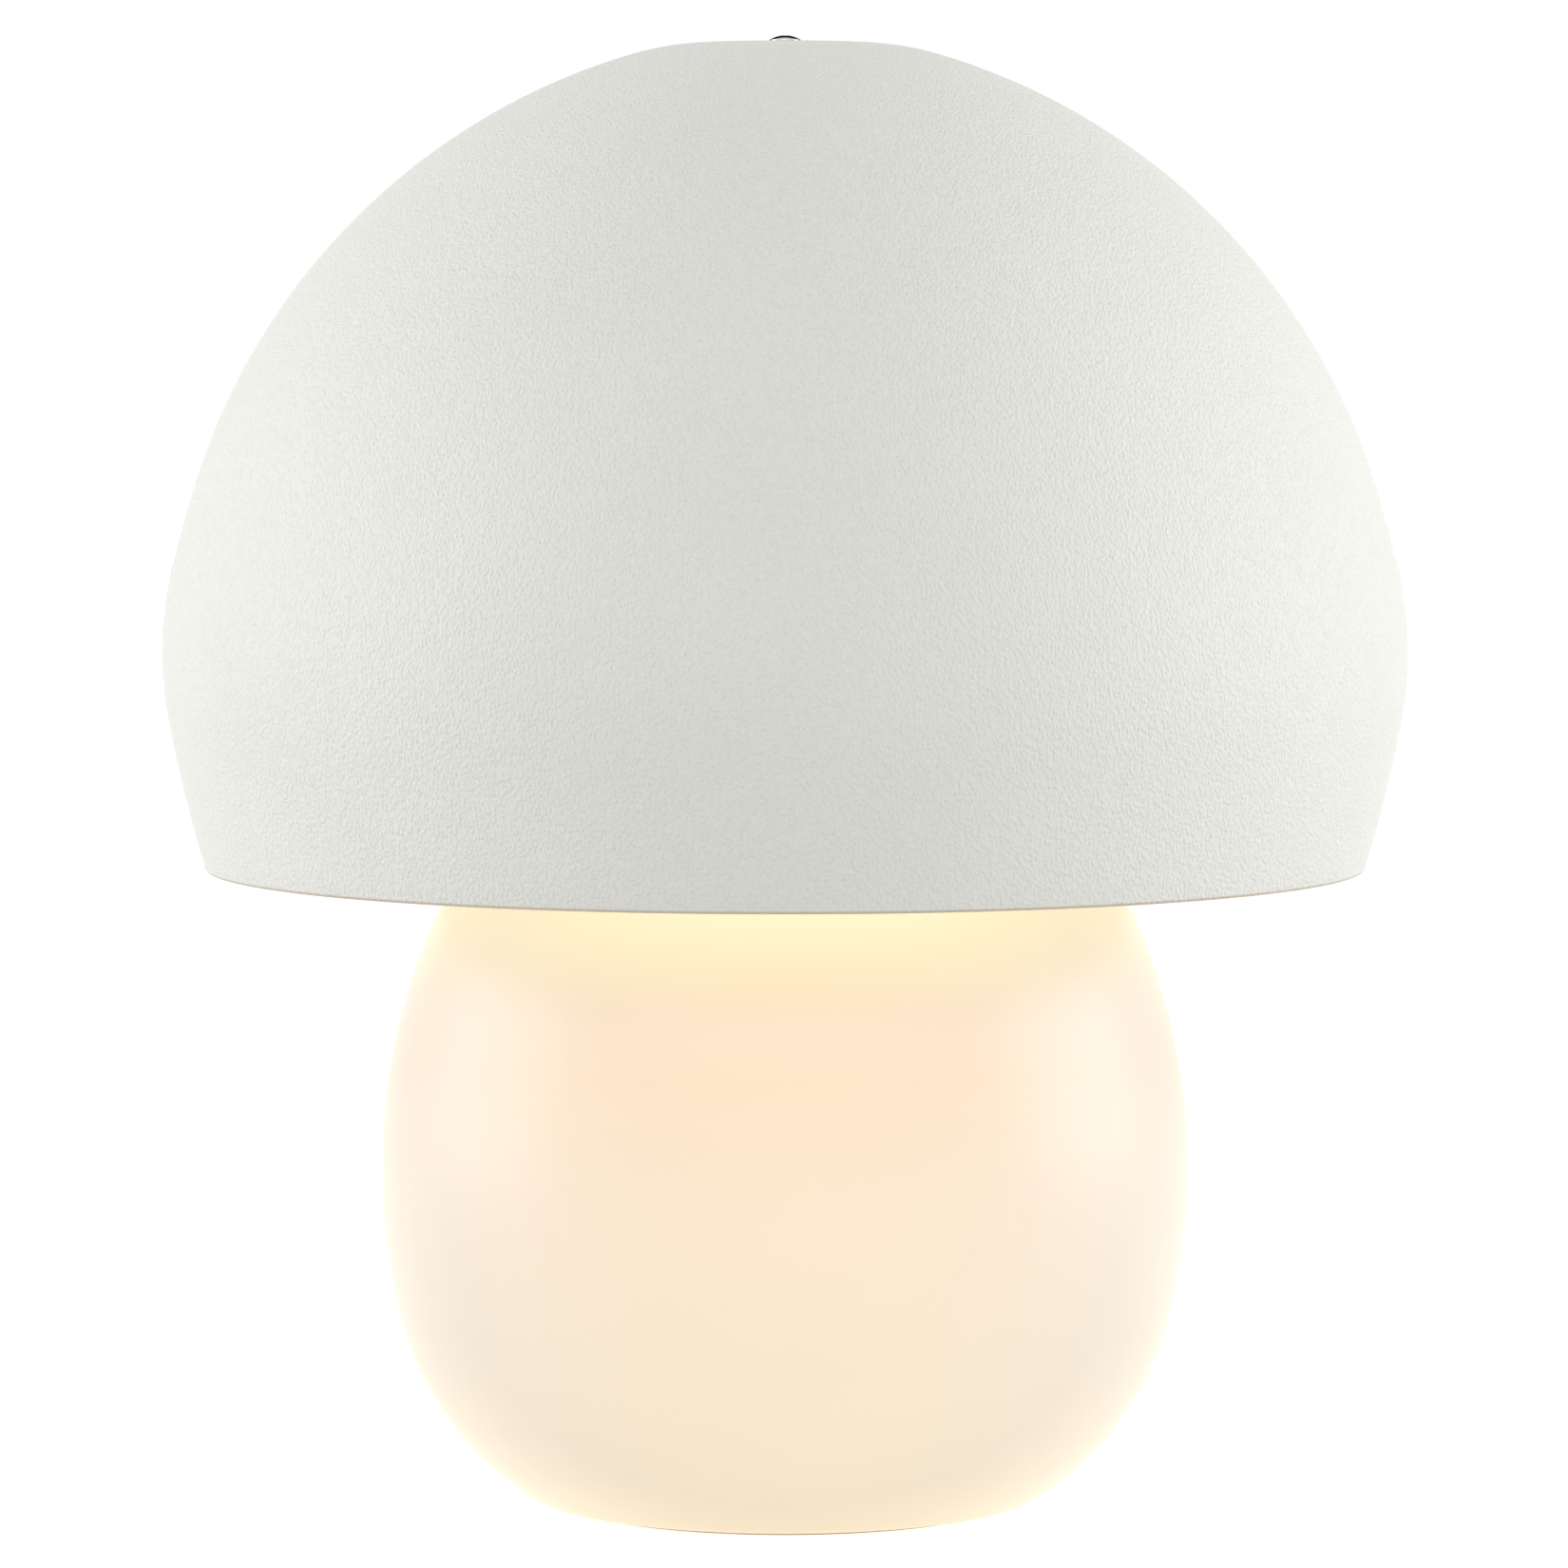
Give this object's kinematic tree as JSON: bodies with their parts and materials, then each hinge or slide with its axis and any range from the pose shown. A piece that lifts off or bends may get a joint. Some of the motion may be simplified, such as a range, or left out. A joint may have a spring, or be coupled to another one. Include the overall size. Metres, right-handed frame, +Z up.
{
  "type": "mushroom table lamp",
  "caption": "Table lamp with a domed matt metal shade held by a low top screw over a rounded opal glass base lit from inside.",
  "frame": {"origin": "on the lamp's axis, at the underside of the felt ring that it stands on", "axes": "+Z up along the lamp's axis, -Y towards the front, +Y towards the cord inlet at the back"},
  "size_m": [0.3299, 0.33, 0.3899],
  "materials": {
    "shade_coat": "matte",
    "opal_glass": "satin",
    "polished_steel": "polished",
    "zinc_steel": "satin",
    "stem_white": "satin",
    "weight_iron": "matte",
    "felt": "matte",
    "black_rubber": "matte",
    "clear_rubber": "satin",
    "brass": "satin",
    "fibre": "matte",
    "phenolic": "satin",
    "bulb_glass": "satin",
    "bulb_plastic": "satin",
    "led_board": "satin",
    "cap_nickel": "satin",
    "solder": "satin"
  },
  "bodies": {
    "base": {"glass_base": "opal_glass", "foot_felt": "felt", "lower_gasket": "black_rubber", "base_weight": "weight_iron", "lower_washer": "zinc_steel", "lower_nut": "zinc_steel", "floor_nipple": "zinc_steel", "upper_gasket": "black_rubber", "check_plate": "zinc_steel", "entry_hub": "zinc_steel", "stem_pipe": "zinc_steel", "stem_tube": "stem_white", "stem_washer": "zinc_steel", "cord_grommet": "clear_rubber", "saddle_plate": "stem_white", "yoke": "stem_white", "yoke_screws": "zinc_steel", "yoke_nuts": "zinc_steel", "yoke_bush": "brass", "seat_gasket": "black_rubber", "holder_cap": "brass", "holder_shell": "brass", "insulating_liner": "fibre", "interior_body": "phenolic", "terminal_screws": "brass", "screw_shell": "brass", "centre_contact": "brass"},
    "shade": {"shade_dome": "shade_coat", "shade_seat_plate": "zinc_steel"},
    "screw_washer": {"captive_washer": "polished_steel"},
    "dome_screw": {"dome_screw": "polished_steel"},
    "bulb": {"bulb_globe": "bulb_glass", "bulb_collar": "bulb_plastic", "bulb_led_board": "led_board", "bulb_screw_cap": "cap_nickel", "bulb_insulator": "phenolic", "bulb_tip": "solder"},
    "switch": {"switch_rotor": "phenolic", "switch_spindle": "brass", "switch_knob": "phenolic"}
  },
  "joints": [
    {"name": "shade_lift", "type": "slide", "parent": "base", "child": "shade", "axis": [0, 0, 1], "range_m": [0, 0.225]},
    {"name": "screw_rise", "type": "slide", "parent": "shade", "child": "screw_washer", "axis": [0, 0, 1], "range_m": [0, 0.0081]},
    {"name": "screw_turn", "type": "hinge", "parent": "screw_washer", "child": "dome_screw", "pos_m": [0, 0, 0.388], "axis": [0, 0, 1], "range_deg": [0, 4200]},
    {"name": "bulb_out", "type": "slide", "parent": "base", "child": "bulb", "axis": [0, 0, 1], "range_m": [0, 0.03]},
    {"name": "switch_turn", "type": "hinge", "parent": "base", "child": "switch", "pos_m": [0, 0, 0.2019], "axis": [0, -1, 0], "continuous": true}
  ],
  "couplings": [
    {"joint": "screw_turn", "follows": "screw_rise", "rad_per_m": 8976}
  ]
}
